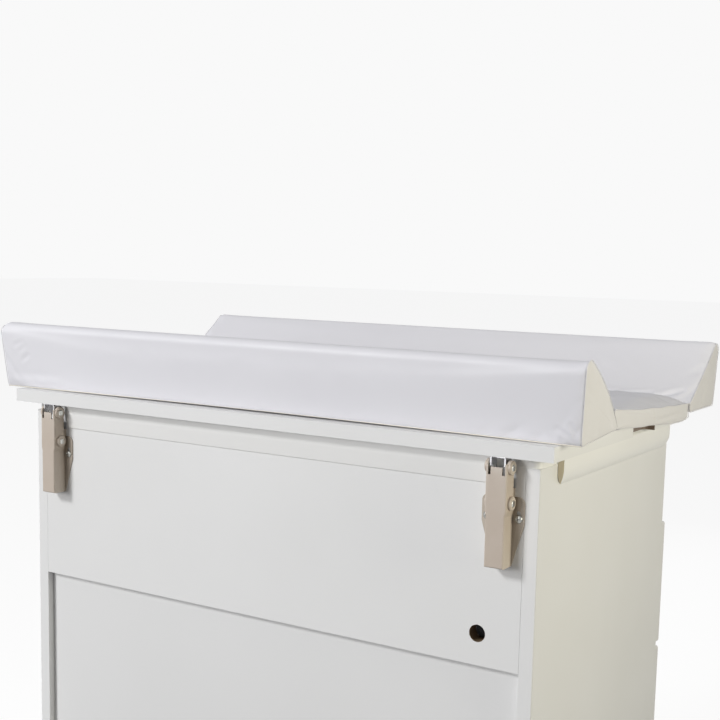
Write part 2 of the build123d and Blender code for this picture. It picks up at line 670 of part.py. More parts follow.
for side, s in sides:
    hx = hinge_x[side]
    back = Plane((hx, back_y, lid_z), x_dir=(1, 0, 0), z_dir=(0, -1, 0))
    half, low = casing_w / 2, casing_low_w / 2
    step_end = casing_step + 2 * (casing_w - casing_low_w)

    with BuildPart() as casing:
        with BuildSketch(back):
            with BuildLine():
                Polyline((-half, -casing_top), (-half, -casing_step), (-low, -step_end),
                         (-low, -casing_bottom), (low, -casing_bottom), (low, -step_end),
                         (half, -casing_step), (half, -casing_top), close=True)
            make_face()
        extrude(amount=-casing_d)
        front_edges = casing.faces().sort_by(Axis.Y)[-1].edges()
        fillet(front_edges.sort_by(Axis.Z)[:-1], casing_round)
        with BuildSketch(back):
            with BuildLine():
                wide, narrow, seat = half - sheet, low - sheet, casing_bottom - sheet
                Polyline((-wide, 0), (-wide, -casing_step), (-narrow, -step_end), (-narrow, -seat),
                         (narrow, -seat), (narrow, -step_end), (wide, -casing_step), (wide, 0), close=True)
            make_face()
        extrude(amount=sheet - casing_d, mode=Mode.SUBTRACT)
        with BuildSketch(back):
            with Locations((0, -neck_bottom / 2)):
                Rectangle(casing_w, neck_bottom)
        extrude(amount=-neck_depth, mode=Mode.SUBTRACT)
        for t in (-1, 1):
            with BuildSketch(back) as flange:
                with BuildLine():
                    Polyline((t * (low - sheet), -flange_top), (t * flange_w / 2, -flange_top),
                             (t * flange_w / 2, -flange_low), (t * low, -casing_bottom),
                             (t * (low - sheet), -casing_bottom), close=True)
                make_face()
                outer_top = flange.vertices().group_by(Axis.Y)[-1].sort_by(Axis.X)[-1 if t > 0 else 0]
                fillet(outer_top, flange_r)
                with Locations((t * hinge_screw_out, keyhole_rise / 2 - hinge_screw_drop)):
                    keyhole_w = 2 * (screw_r + keyhole_clear)
                    SlotCenterToCenter(keyhole_rise, keyhole_w, rotation=90, mode=Mode.SUBTRACT)
            extrude(amount=-sheet)
        front_wall = back.offset(sheet - casing_d)
        with BuildSketch(front_wall):
            for t in (-1, 1):
                with Locations((t * (slot_in + slot_out) / 2, -slot_bottom / 2)):
                    Rectangle(slot_out - slot_in, slot_bottom)
            with Locations((0, -(casing_top + tab_drop) / 2)):
                Rectangle(2 * slot_in, casing_top + tab_drop)
        extrude(amount=-sheet, mode=Mode.SUBTRACT)
        for t in (-1, 1):
            wall = Plane((hx + t * (half - sheet), 0, 0), x_dir=(0, 1, 0), z_dir=(1, 0, 0))
            with BuildSketch(wall):
                with Locations((pivot_y, pivot_z), (plunger_y, guide_z)):
                    Circle(boss_r)
                    Circle(pin_r + pin_clear, mode=Mode.SUBTRACT)
            extrude(amount=t * (sheet + boss_h))
        rounds = casing.edges().filter_by(GeomType.CIRCLE)
        outer = [e for e in rounds if abs(e.center().X - hx) > half + boss_h / 2]
        chamfer([e for e in outer if e.radius > boss_r - pin_clear], boss_bevel)
        with BuildSketch(Plane.YZ.offset(hx)):
            with Locations((pivot_y, pivot_z), (plunger_y, guide_z)):
                Circle(pin_r + pin_clear)
        extrude(amount=casing_w, both=True, mode=Mode.SUBTRACT)
    save(casing.part, f"hinge_casing_{side}")

    pivot_inner = leaf_w / 2 - leaf_sheet - rivet_tail
    pivot_pin = ("pivot_pin", pivot_y, pivot_z, pivot_inner)
    guide_rivet = ("guide_rivet", plunger_y, guide_z, 0)
    for pin_name, pin_y, pin_z, inner_end in (pivot_pin, guide_rivet):
        with BuildPart() as pin:
            for t in (-1, 1):
                with BuildSketch(Plane.YZ.offset(hx + t * inner_end)):
                    with Locations((pin_y, pin_z)):
                        Circle(pin_r)
                extrude(amount=t * (half + boss_h - inner_end))
                with BuildSketch(Plane.YZ.offset(hx + t * (half + boss_h))):
                    with Locations((pin_y, pin_z)):
                        Circle(rivet_head_r)
                extrude(amount=t * rivet_head_h)
                rim = pin.faces().sort_by(Axis.X)[-1 if t > 0 else 0].edges()
                chamfer(rim, rivet_bevel)
        save(pin.part, f"hinge_{pin_name}_{side}")

    with BuildPart() as washers:
        for t in (-1, 1):
            inner_x = hx + t * (leaf_w / 2 + washer_clear)
            with BuildSketch(Plane.YZ.offset(inner_x)):
                with Locations((pivot_y, pivot_z)):
                    Circle(washer_r)
                    Circle(pin_r + pin_clear, mode=Mode.SUBTRACT)
            extrude(amount=t * (half - sheet - leaf_w / 2 - 2 * washer_clear))
    save(washers.part, f"hinge_washers_{side}")

    with BuildPart() as leaf:
        pivot_plane = Plane((hx, pivot_y, pivot_z), x_dir=(0, -1, 0), z_dir=(-1, 0, 0))
        heel = pivot_out - leaf_rear
        toe = pivot_out - leaf_cheek_front
        cam = [cam_point(a) for a in cam_angles]
        for t in (-1, 1):
            with BuildSketch(pivot_plane.offset(-t * leaf_w / 2)):
                with BuildLine():
                    lobe = Spline(*cam)
                    notch_x = (lobe @ 1).X - pin_clear
                    Polyline(lobe @ 1, (notch_x, pin_r / 2), (heel, pin_r / 2), (heel, pivot_drop),
                             (toe, pivot_drop), (toe, -pin_r / 2), lobe @ 0)
                make_face()
                Circle(pin_r + pin_clear, mode=Mode.SUBTRACT)
            extrude(amount=t * leaf_sheet)
        with BuildSketch(Plane.XY.offset(lid_z)):
            with Locations((hx, back_y + (leaf_web_rear - leaf_front) / 2)):
                Rectangle(leaf_w, leaf_web_rear + leaf_front)
        extrude(amount=-leaf_sheet)
        bends = leaf.edges().filter_by(Axis.Y).group_by(Axis.Z)[-1]
        fillet([e for e in bends if abs(abs(e.center().X - hx) - leaf_w / 2) < pin_clear], leaf_bend)
        with BuildSketch(Plane.XY.offset(lid_z - leaf_sheet)):
            with Locations([(hx, back_y - y) for y in leaf_screws_at]):
                Circle(leaf_screw_head_r)
        extrude(amount=leaf_screw_head_r - leaf_screw_r, taper=45, mode=Mode.SUBTRACT)
        with BuildSketch(Plane.XY.offset(lid_z)):
            with Locations([(hx, back_y - y) for y in leaf_screws_at]):
                Circle(leaf_screw_r)
        extrude(amount=-leaf_sheet, mode=Mode.SUBTRACT)
    save(leaf.part, f"hinge_leaf_{side}")

    with BuildPart() as plunger:
        with BuildSketch(Plane.XY.offset(head_top)):
            with Locations((hx, head_y)):
                RectangleRounded(head_w, 2 * head_half, head_r)
        extrude(amount=-head_h)
        with BuildSketch(Plane.XY.offset(head_top - head_h)):
            with Locations((hx, plunger_y)):
                RectangleRounded(bar_w, bar_d, head_r)
        extrude(amount=collar_top - head_top + head_h)
        with BuildSketch(Plane.YZ.offset(hx)):
            with Locations((plunger_y, guide_z - travel / 2)):
                SlotOverall(travel + 2 * (pin_r + guide_clear), 2 * (pin_r + guide_clear), rotation=90)
        extrude(amount=bar_w, both=True, mode=Mode.SUBTRACT)
        with BuildSketch(Plane.XY.offset(collar_top)):
            with Locations((hx, plunger_y)):
                Circle(collar_r)
        extrude(amount=-collar_h)
        with BuildSketch(Plane.XY.offset(collar_top - collar_h)):
            with Locations((hx, plunger_y)):
                Circle(rod_r)
        extrude(amount=-rod_l)
        chamfer(plunger.faces().sort_by(Axis.Z)[0].edges(), rod_r / 3)
    save(plunger.part, f"hinge_plunger_{side}")

    coil_h = spring_top - spring_foot - 2 * spring_wire_r
    coil_rise = coil_h / spring_turns
    with BuildPart() as spring:
        with BuildLine() as wire_path:
            for start, end, tangent in helix_path(hx, plunger_y, spring_foot + spring_wire_r,
                                                  spring_r, coil_rise, spring_turns):
                TangentArc(start, end, tangent=tangent)
        with BuildSketch(Plane(wire_path.wire() @ 0, x_dir=(1, 0, 0), z_dir=wire_path.wire() % 0)):
            Circle(spring_wire_r)
        sweep()
    save(spring.part, f"hinge_spring_{side}")
print("spring turns clear each other by", round(coil_rise - 2 * spring_wire_r, 2), "mm")

# Screws that hold the hinge casings
with BuildPart() as hinge_screws:
    with BuildSketch(Plane.XZ.offset(-(back_y + sheet))):
        with Locations([(x, lid_z - hinge_screw_drop) for x in hinge_screw_xs]):
            Circle(screw_head_r)
    extrude(amount=-screw_head_h)
    chamfer(hinge_screws.faces().filter_by(Axis.Y).group_by(Axis.Y)[-1].edges(), screw_bevel)
    with BuildSketch(Plane.XZ.offset(-(back_y + sheet))):
        with Locations([(x, lid_z - hinge_screw_drop) for x in hinge_screw_xs]):
            Circle(screw_r)
    extrude(amount=screw_l)
save(hinge_screws.part, "hinge_screws")
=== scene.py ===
import math

import bmesh
import bpy
import numpy as np
from mathutils import Matrix, Vector


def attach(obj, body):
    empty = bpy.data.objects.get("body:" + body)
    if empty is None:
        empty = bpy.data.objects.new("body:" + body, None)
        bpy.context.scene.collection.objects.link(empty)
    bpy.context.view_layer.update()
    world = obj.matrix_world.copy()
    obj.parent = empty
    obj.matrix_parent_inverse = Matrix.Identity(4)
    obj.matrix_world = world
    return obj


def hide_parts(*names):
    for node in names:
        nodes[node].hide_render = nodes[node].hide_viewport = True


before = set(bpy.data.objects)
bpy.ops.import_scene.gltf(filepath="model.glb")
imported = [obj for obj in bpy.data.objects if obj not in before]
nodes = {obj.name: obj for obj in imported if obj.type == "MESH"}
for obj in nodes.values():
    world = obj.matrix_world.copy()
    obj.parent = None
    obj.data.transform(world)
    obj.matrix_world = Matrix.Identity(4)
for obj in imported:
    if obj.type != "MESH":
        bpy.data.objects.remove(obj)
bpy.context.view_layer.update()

# Carcass: side panels, flush upper back, bottom, plinth and the face in front of the bath.
# They are 18 mm boards under white lacquer, rolled on, so the film has a faint orange peel
# and is a little thinner in places. The boards are dowelled together.


def new_material(name):
    """Empty node material with its shader, and object coordinates to hang patterns on."""
    material = bpy.data.materials.new(name)
    material.use_nodes = True
    tree = material.node_tree
    place = tree.nodes.new("ShaderNodeTexCoord").outputs["Object"]
    return material, tree, tree.nodes["Principled BSDF"], place


def noise(tree, place, scale, detail=3.0, stretch=None):
    """Noise value at this scale per metre, stretched along the axes if asked."""
    if stretch:
        turn = tree.nodes.new("ShaderNodeMapping")
        turn.inputs["Scale"].default_value = stretch
        tree.links.new(place, turn.inputs["Vector"])
        place = turn.outputs["Vector"]
    texture = tree.nodes.new("ShaderNodeTexNoise")
    texture.inputs["Scale"].default_value = scale
    texture.inputs["Detail"].default_value = detail
    tree.links.new(place, texture.inputs["Vector"])
    return texture.outputs["Fac"]


def spread(tree, value, low, high, start=0.3, end=0.7):
    """Value remapped from start..end to low..high."""
    ranger = tree.nodes.new("ShaderNodeMapRange")
    ranger.inputs["From Min"].default_value = start
    ranger.inputs["From Max"].default_value = end
    ranger.inputs["To Min"].default_value = low
    ranger.inputs["To Max"].default_value = high
    tree.links.new(value, ranger.inputs["Value"])
    return ranger.outputs["Result"]


def mix_colour(tree, share, first, second):
    """Colour between two, each a triple or a socket, by a share from 0 to 1."""
    mixer = tree.nodes.new("ShaderNodeMix")
    mixer.data_type = "RGBA"
    tree.links.new(share, mixer.inputs["Factor"])
    for socket, colour in ((mixer.inputs[6], first), (mixer.inputs[7], second)):
        if isinstance(colour, tuple):
            socket.default_value = (*colour, 1)
        else:
            tree.links.new(colour, socket)
    return mixer.outputs[2]


def add_bump(tree, shader, height, depth, strength=1.0, under=None):
    """Bump of this depth in metres, on top of another bump where one is given."""
    bump = tree.nodes.new("ShaderNodeBump")
    bump.inputs["Distance"].default_value = depth
    bump.inputs["Strength"].default_value = strength
    tree.links.new(height, bump.inputs["Height"])
    if under:
        tree.links.new(under, bump.inputs["Normal"])
    tree.links.new(bump.outputs["Normal"], shader.inputs["Normal"])
    return bump.outputs["Normal"]


def split(tree, vector):
    """The X, Y and Z of a vector."""
    parts = tree.nodes.new("ShaderNodeSeparateXYZ")
    tree.links.new(vector, parts.inputs["Vector"])
    return parts.outputs


def reckon(tree, operation, *values):
    """Result of one calculation on these values, each a number or a socket."""
    node = tree.nodes.new("ShaderNodeMath")
    node.operation = operation
    for socket, value in zip(node.inputs, values):
        if isinstance(value, (int, float)):
            socket.default_value = value
        else:
            tree.links.new(value, socket)
    return node.outputs["Value"]


def near_axis(tree, place, spot, radius):
    """1 within radius of the line along Y through a spot (x, z), else 0."""
    parts = split(tree, place)
    flat = tree.nodes.new("ShaderNodeCombineXYZ")
    tree.links.new(parts["X"], flat.inputs["X"])
    tree.links.new(parts["Z"], flat.inputs["Y"])
    gap = tree.nodes.new("ShaderNodeVectorMath")
    gap.operation = "DISTANCE"
    tree.links.new(flat.outputs["Vector"], gap.inputs[0])
    gap.inputs[1].default_value = (*spot, 0)
    return reckon(tree, "LESS_THAN", gap.outputs["Value"], radius)


def lacquered(name, white=(0.80, 0.80, 0.80), thin=(0.765, 0.765, 0.762), gloss=0.40):
    """White lacquer on board: broad cloudiness, roller peel and a soft sheen."""
    material, tree, shader, place = new_material(name)
    cloud = spread(tree, noise(tree, place, 2.6, 4), 0, 1)
    colour = mix_colour(tree, cloud, white, thin)
    tree.links.new(colour, shader.inputs["Base Color"])
    sheen = spread(tree, noise(tree, place, 14), gloss - 0.04, gloss + 0.06)
    tree.links.new(sheen, shader.inputs["Roughness"])
    add_bump(tree, shader, noise(tree, place, 420, 2), 0.00006)
    return material, tree, shader, place, colour


def paint(material, *names):
    """Puts the material on these frame nodes."""
    for name in names:
        nodes[name].data.materials.clear()
        nodes[name].data.materials.append(material)


board_white = lacquered("board_white")[0]
paint(board_white, "side_panel_left", "side_panel_right", "bottom_panel", "plinth", "bath_front_panel")

hose_hole = (-0.338, 0.588)
hose_hole_r = 0.0105
wall_slack = 0.00008
back_white, tree, shader, place, colour = lacquered("upper_back_white")
raw_wall = near_axis(tree, place, hose_hole, hose_hole_r + wall_slack)
# The hose hole's wall: raw board colour, painted darker still as painted shade inside the hole.
raw_board_painted_shade = mix_colour(tree, noise(tree, place, 900, 2), (0.16, 0.11, 0.065), (0.26, 0.19, 0.12))
tree.links.new(mix_colour(tree, raw_wall, colour, raw_board_painted_shade), shader.inputs["Base Color"])
paint(back_white, "upper_back_panel")

# Lower back: a thin hardboard sheet, painted white on its smooth side and slid into grooves.
# It is less stiff than the boards, so it is never quite flat.
hardboard_white, tree, shader, place, colour = lacquered("hardboard_white", (0.775, 0.775, 0.775),
                                                         (0.745, 0.745, 0.744), 0.46)
waves = add_bump(tree, shader, noise(tree, place, 3.2, 1), 0.004, 0.35)
add_bump(tree, shader, noise(tree, place, 600, 2), 0.00006, under=waves)
paint(hardboard_white, "lower_back_panel")

# Floor glides and drawer runners: grey and white injection-moulded plastic with a fine
# spark-eroded grain, nailed under the sides or screwed to them.


def moulded(name, light, dark, rough, grain, depth=0.00005, patch=0.05):
    """Injection-moulded plastic: eroded grain, faint flow marks, gloss that varies by patches."""
    material, tree, shader, place = new_material(name)
    flow = spread(tree, noise(tree, place, 25, 3, (1, 1, 4)), 0, 1)
    tree.links.new(mix_colour(tree, flow, light, dark), shader.inputs["Base Color"])
    gloss = spread(tree, noise(tree, place, 60), rough - patch, rough + patch)
    tree.links.new(gloss, shader.inputs["Roughness"])
    add_bump(tree, shader, noise(tree, place, grain, 2), depth)
    return material


paint(moulded("glide_grey", (0.62, 0.62, 0.61), (0.55, 0.55, 0.54), 0.5, 1500), "floor_glides")
paint(moulded("runner_white", (0.70, 0.70, 0.69), (0.64, 0.64, 0.63), 0.42, 1300), "drawer_runners")

# Drawers: lacquered overlay fronts with a routed finger grip, on boxes of foil-wrapped board
# with hardboard bottoms. The boxes run on strips in a side groove.
foil_white = lacquered("drawer_foil", (0.77, 0.77, 0.765), (0.74, 0.74, 0.735), 0.5)[0]
for number in (1, 2, 3):
    paint(board_white, f"drawer_{number}_front")
    paint(foil_white, *[f"drawer_{number}_{part}" for part in ("side_left", "side_right", "back")])
    paint(hardboard_white, f"drawer_{number}_bottom")

# Bath tub: one vacuum-formed sheet of white ABS with a soft gloss. The sheet is drawn thinner
# at the basin's corners, and it hangs by its lips, which are rolled over the panels and trimmed.
# Their end walls and undersides are painted warm tan: painted warm bounce light where they lie in shade.
tub_white = moulded("tub_white", (0.84, 0.837, 0.827), (0.832, 0.829, 0.818), 0.34, 900, 0.00001, 0.015)
# Warm tan for the lips' end walls and undersides: painted warm bounce light in their shade.
painted_warm_light = moulded("tub_painted_warm_light", (0.88, 0.785, 0.59), (0.85, 0.75, 0.55), 0.45, 700)

cabinet_middle, cabinet_half = -0.008, 0.403
back_panel_y, front_panel_y = 0.244, -0.202
panels_y = (back_panel_y, 1), (front_panel_y, -1)
rim_top = 0.8047
lip_wall, lip_gap = 0.0025, 0.0003
side_lip_out, side_lip_h, side_lip_end_r = 0.008, 0.0375, 0.014
long_lip_out, long_lip_h, long_lip_end_r = 0.005, 0.0348, 0.008
long_lip_roll = 0.00375
long_lip_foot = 0.0012
brow_depths = 0.009, 0.012, 0.015
front_lip_inset = 0.012
web_near, web_far = 0.0004, 0.0018
web_root, web_least = 0.0005, 0.0003


def rolled_reach(z, out, height):
    """How far a lip rolled to its foot stands out at this height under the rim."""
    foot_r = ((out - lip_gap) ** 2 + height ** 2 / 4) / (2 * (out - lip_gap))
    return out - foot_r + math.sqrt(foot_r ** 2 - min(0, z + height / 2) ** 2)


def flat_reach(z):
    """The same for the lips over the back and front, which are nearly flat under a soft brow."""
    return np.interp(-z, (long_lip_roll, *brow_depths, long_lip_h - long_lip_foot, long_lip_h),
                     (0.0025, 0.00302, 0.00315, 0.00298, 0.00115, lip_gap))


def past_panels(point):
    """Whether a point stands outside the back or the front panel."""
    return any((point.y - y) * sign > 0 for y, sign in panels_y)


def meshed(form, name):
    """Mesh made from a form, which is then let go."""
    mesh = bpy.data.meshes.new(name)
    form.to_mesh(mesh)
    form.free()
    return mesh


def placed(name, data):
    """Object made from a mesh, lamp or lens, put in the scene."""
    piece = bpy.data.objects.new(name, data)
    bpy.context.scene.collection.objects.link(piece)
    return piece


def settle(piece):
    """Leaves the piece as its modifiers make it, and takes them off."""
    shaped = piece.evaluated_get(bpy.context.evaluated_depsgraph_get())
    piece.data = bpy.data.meshes.new_from_object(shaped)
    piece.modifiers.clear()


tub_form = bmesh.new()
tub_form.from_mesh(nodes["bath_tub"].data)
bmesh.ops.remove_doubles(tub_form, verts=tub_form.verts, dist=1e-6)
for depth in brow_depths:
    lips = [face for face in tub_form.faces if past_panels(face.calc_center_median())]
    parts = {part for face in lips for part in (*face.verts, *face.edges, face)}
    bmesh.ops.bisect_plane(tub_form, geom=list(parts), plane_co=(0, 0, rim_top - depth), plane_no=(0, 0, 1))
for corner in tub_form.verts:
    z = min(corner.co.z - rim_top, -long_lip_roll)
    for panel_y, sign in panels_y:
        out = (corner.co.y - panel_y) * sign - lip_gap
        if out > 1e-5:
            drawn = (flat_reach(z) - lip_gap) / (rolled_reach(z, long_lip_out, long_lip_h) - lip_gap)
            corner.co.y = panel_y + sign * (lip_gap + out * drawn)
# Lip walls and undersides below the rim take the second material, the painted warm light.
for face in tub_form.faces:
    middle = face.calc_center_median()
    on_side = abs(middle.x - cabinet_middle) > cabinet_half and abs(face.normal.x) < 0.1
    on_long = past_panels(middle) and abs(face.normal.y) < 0.1
    face.material_index = int(middle.z < rim_top - 0.004 and (on_side or on_long))
tub_mesh = meshed(tub_form, "bath_tub_formed")
tub_mesh.attributes.remove(tub_mesh.attributes["custom_normal"])
tub_mesh.shade_smooth()
tub_mesh.set_sharp_from_angle(angle=math.radians(30))
tub = placed("bath_tub_formed", tub_mesh)
tub.modifiers.new("flats", "WEIGHTED_NORMAL").keep_sharp = True
settle(tub)
for material in (tub_white, painted_warm_light):
    tub.data.materials.append(material)
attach(tub, "cabinet")
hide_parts("bath_tub")


def lip_end(form, corner, outward, along, reach, height, end_r):
    """Web that closes a lip's end, down its straight edge and round its lower corner."""
    corner, outward, along = Vector(corner), Vector(outward), Vector(along)
    turn = np.linspace(0, np.pi / 2, 14)
    line = [(0, -0.001)]
    line += [(end_r * (1 - math.cos(a)), end_r - height - end_r * math.sin(a)) for a in turn]
    rings = []
    for back, z in line:
        ring = []
        for inset, share in ((web_near, 0), (web_near, 1), (web_far, 1), (web_far, 0)):
            u = web_root + share * max(web_least, reach(z) - web_root)
            lift = inset * (1 if z < end_r - height else 0)
            place = corner + outward * u - along * (back + inset) + Vector((0, 0, z + lift))
            ring.append(form.verts.new(place))
        rings.append(ring)
    for first, second in zip(rings, rings[1:]):
        for k in range(4):
            form.faces.new((first[k], first[(k + 1) % 4], second[(k + 1) % 4], second[k]))
    form.faces.new(rings[0])
    form.faces.new(rings[-1])


webs = bmesh.new()
for (panel_y, sign), inset in zip(panels_y, (0, front_lip_inset)):
    side_x = cabinet_middle + sign * cabinet_half
    for end_y, along in ((0.196, 1), (-0.188, -1)):
        lip_end(webs, (side_x, end_y, rim_top), (sign, 0, 0), (0, along, 0),
                lambda z: rolled_reach(z, side_lip_out, side_lip_h) - lip_wall / 2,
                side_lip_h, side_lip_end_r)
    for end_x, along in ((0.333, 1), (-0.349, -1)):
        lip_end(webs, (end_x + along * inset, panel_y, rim_top), (0, sign, 0), (along, 0, 0),
                lambda z: flat_reach(z) - lip_wall / 4, long_lip_h, long_lip_end_r)
bmesh.ops.recalc_face_normals(webs, faces=webs.faces)
lip_ends = placed("tub_lip_ends", meshed(webs, "tub_lip_ends"))
# The webs that close the lip ends take the painted warm light as well.
lip_ends.data.materials.append(painted_warm_light)
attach(lip_ends, "cabinet")

# Drain: a white moulded fitting with a hose spigot, clamped through the basin floor by a nut
# from below. A grey rubber stopper is pushed into it from above by hand.
drain_white = moulded("drain_white", (0.72, 0.72, 0.72), (0.66, 0.66, 0.66), 0.32, 900)
paint(drain_white, "drain_fitting", "drain_nut")
stopper_grey = moulded("stopper_grey", (0.42, 0.43, 0.45), (0.36, 0.37, 0.39), 0.6, 500, 0.0001)
paint(stopper_grey, "drain_plug")

# Spring hinge casings: pressed from 1.5 mm sheet and stove enamelled beige, a little patchy in tone.
# The wings by the panel are darker, a painted shadow of the casing, and the sharp outer edges are lighter,
# a painted highlight.
enamel, tree, shader, place = new_material("beige_enamel")
pooled = spread(tree, noise(tree, place, 40, 3), 0, 1)
beige = mix_colour(tree, pooled, (0.545, 0.468, 0.400), (0.515, 0.438, 0.368))
wing_face_y, wing_clear_y = 0.2458, 0.2500
# Wings close to the panel face are darkened: painted shadow cast by the casing.
painted_casing_shadow = spread(tree, split(tree, place)["Y"], 1, 0, wing_face_y, wing_clear_y)
beige = mix_colour(tree, painted_casing_shadow, beige, (0.30, 0.245, 0.19))
# Sharp outer edges are lightened: a painted highlight.
edge_sharpness = tree.nodes.new("ShaderNodeNewGeometry").outputs["Pointiness"]
painted_edge_highlight = spread(tree, edge_sharpness, 0, 0.55, 0.53, 0.62)
tree.links.new(mix_colour(tree, painted_edge_highlight, beige, (0.66, 0.60, 0.53)), shader.inputs["Base Color"])
tree.links.new(spread(tree, noise(tree, place, 90), 0.32, 0.44), shader.inputs["Roughness"])
add_bump(tree, shader, noise(tree, place, 1100, 2), 0.00005)
paint(enamel, "hinge_casing_left", "hinge_casing_right")

# Hinge leaves: chrome-plated sheet. Their pins, guide rivets and washers are nickel plated, and
# the plungers and springs inside the casings are oiled steel.


def plated(name, light, dark, rough):
    """Plated steel with fine draw marks along its length."""
    material, tree, shader, place = new_material(name)
    marks = noise(tree, place, 300, 4, (1, 0.12, 1))
    tree.links.new(mix_colour(tree, spread(tree, marks, 0, 1), light, dark), shader.inputs["Base Color"])
    shader.inputs["Metallic"].default_value = 1
    tree.links.new(spread(tree, marks, rough - 0.05, rough + 0.08), shader.inputs["Roughness"])
    add_bump(tree, shader, marks, 0.00003)
    return material


chrome = plated("chrome_plate", (0.70, 0.70, 0.72), (0.58, 0.58, 0.60), 0.19)
zinc = plated("zinc_plate", (0.42, 0.42, 0.40), (0.30, 0.30, 0.28), 0.28)
nickel = plated("nickel_plate", (0.74, 0.745, 0.71), (0.62, 0.625, 0.59), 0.3)
oiled = plated("oiled_steel", (0.30, 0.30, 0.31), (0.22, 0.22, 0.23), 0.34)
for side in ("left", "right"):
    paint(chrome, f"hinge_leaf_{side}")
    paint(nickel, f"hinge_pivot_pin_{side}", f"hinge_guide_rivet_{side}", f"hinge_washers_{side}")
    paint(oiled, f"hinge_plunger_{side}", f"hinge_spring_{side}")

# Screws: zinc-plated cross-recess screws, pan heads through the casings into the back panel and
# countersunk ones up through the leaves into the lid. Each stopped at its own angle.


def cross_screw(name, outline):
    """Screw turned from an outline of (radius, along), with a cross recess sunk in its head."""
    turned = bmesh.new()
    line = [turned.verts.new((r / 1000, 0, z / 1000)) for r, z in outline]
    edges = [turned.edges.new(pair) for pair in zip(line, line[1:])]
    bmesh.ops.spin(turned, geom=line + edges, cent=(0, 0, 0), axis=(0, 0, 1),
                   angle=2 * math.pi, steps=40)
    bmesh.ops.remove_doubles(turned, verts=turned.verts, dist=1e-6)
    bmesh.ops.recalc_face_normals(turned, faces=turned.faces)
    head = outline[0][1]
    size = min(1, max(r for r, z in outline) / 4.2)
    cutter = bmesh.new()
    rings = []
    for long, wide, z in ((3.1, 0.62, head + 0.6), (1.0, 0.34, head - 1.7 * size)):
        arm = [(long, -wide), (long, wide), (wide, wide)]
        quarters = (1, 0), (0, 1), (-1, 0), (0, -1)
        ring = [(x * c - y * k, x * k + y * c) for c, k in quarters for x, y in arm]
        rings.append([cutter.verts.new((x * size / 1000, y * size / 1000, z / 1000)) for x, y in ring])
    for k in range(12):
        cutter.faces.new((rings[0][k], rings[0][(k + 1) % 12], rings[1][(k + 1) % 12], rings[1][k]))
    cutter.faces.new(rings[0])
    cutter.faces.new(rings[1])
    bmesh.ops.recalc_face_normals(cutter, faces=cutter.faces)
    screw = placed(name, meshed(turned, name))
    recess = placed(name + "_recess", meshed(cutter, name + "_recess"))
    sink = screw.modifiers.new("sink", "BOOLEAN")
    sink.object = recess
    sink.operation = "DIFFERENCE"
    settle(screw)
    bpy.data.objects.remove(recess)
    return screw


driven = bpy.data.node_groups.new("driven_screws", "GeometryNodeTree")
driven.interface.new_socket("Geometry", in_out="OUTPUT", socket_type="NodeSocketGeometry")
driven.interface.new_socket("Geometry", in_out="INPUT", socket_type="NodeSocketGeometry")
driven_screw = driven.interface.new_socket("Screw", in_out="INPUT", socket_type="NodeSocketObject")
driven_metal = driven.interface.new_socket("Material", in_out="INPUT", socket_type="NodeSocketMaterial")
driven_facing = driven.interface.new_socket("Facing", in_out="INPUT", socket_type="NodeSocketVector")
step = {name: driven.nodes.new(kind) for name, kind in (
    ("in", "NodeGroupInput"), ("screw", "GeometryNodeObjectInfo"),
    ("aim", "FunctionNodeAlignRotationToVector"), ("stop", "FunctionNodeRandomValue"),
    ("angle", "FunctionNodeEulerToRotation"), ("spin", "FunctionNodeRotateRotation"),
    ("rows", "GeometryNodeInstanceOnPoints"), ("real", "GeometryNodeRealizeInstances"),
    ("metal", "GeometryNodeSetMaterial"), ("out", "NodeGroupOutput"))}
step["aim"].axis = "Z"
step["spin"].rotation_space = "LOCAL"
step["stop"].data_type = "FLOAT_VECTOR"
step["stop"].inputs["Max"].default_value = (0, 0, math.pi / 2)
for source, output, target, socket in (
        ("in", "Geometry", "rows", "Points"), ("in", "Screw", "screw", "Object"),
        ("in", "Facing", "aim", "Vector"), ("stop", "Value", "angle", "Euler"),
        ("aim", "Rotation", "spin", "Rotation"),
        ("angle", "Rotation", "spin", "Rotate By"), ("spin", "Rotation", "rows", "Rotation"),
        ("screw", "Geometry", "rows", "Instance"), ("rows", "Instances", "real", "Geometry"),
        ("real", "Geometry", "metal", "Geometry"), ("in", "Material", "metal", "Material"),
        ("metal", "Geometry", "out", "Geometry")):
    driven.links.new(step[source].outputs[output], step[target].inputs[socket])


def grown(name, points, edges, group, inputs):
    """Piece that a node tree grows on these points and edges, as a plain mesh."""
    mesh = bpy.data.meshes.new(name)
    mesh.from_pydata(points, edges, [])
    piece = bpy.data.objects.new(name, mesh)
    grower = piece.modifiers.new("grower", "NODES")
    grower.node_group = group
    for socket, value in inputs:
        grower[socket.identifier] = value
    bpy.context.scene.collection.objects.link(piece)
    settle(piece)
    return piece


hinge_x = (-0.3665, 0.3505)
casing_screw_side, casing_screw_y, casing_screw_z = 0.020, 0.2455, 0.7325
leaf_screw_y, leaf_z = (0.234, 0.210), 0.803
pan_head = ((0, 2.6), (1.6, 2.58), (2.9, 2.4), (3.9, 1.95), (4.6, 1.35), (4.95, 0.7), (5.0, 0.1), (4.9, 0),
            (2.0, 0), (1.95, -11), (0.4, -14), (0, -14))
sunk_head = ((0, 0), (3.5, 0), (3.55, -0.12), (2.0, -1.65), (1.95, -10.4), (0.4, -13), (0, -13))
casing_spots = [(x + side * casing_screw_side, casing_screw_y, casing_screw_z)
                for x in hinge_x for side in (-1, 1)]
leaf_spots = [(x, y, leaf_z) for x in hinge_x for y in leaf_screw_y]
for name, outline, facing, body, spots in (
        ("hinge_screws", pan_head, (0.0, 1.0, 0.0), "cabinet", casing_spots),
        ("hinge_leaf_screws", sunk_head, (0.0, 0.0, -1.0), "lid", leaf_spots)):
    screw = cross_screw(name + "_one", outline)
    row = grown(name + "_driven", spots, [], driven,
                ((driven_screw, screw), (driven_metal, zinc), (driven_facing, facing)))
    bpy.data.objects.remove(screw)
    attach(row, body)
    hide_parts(name)
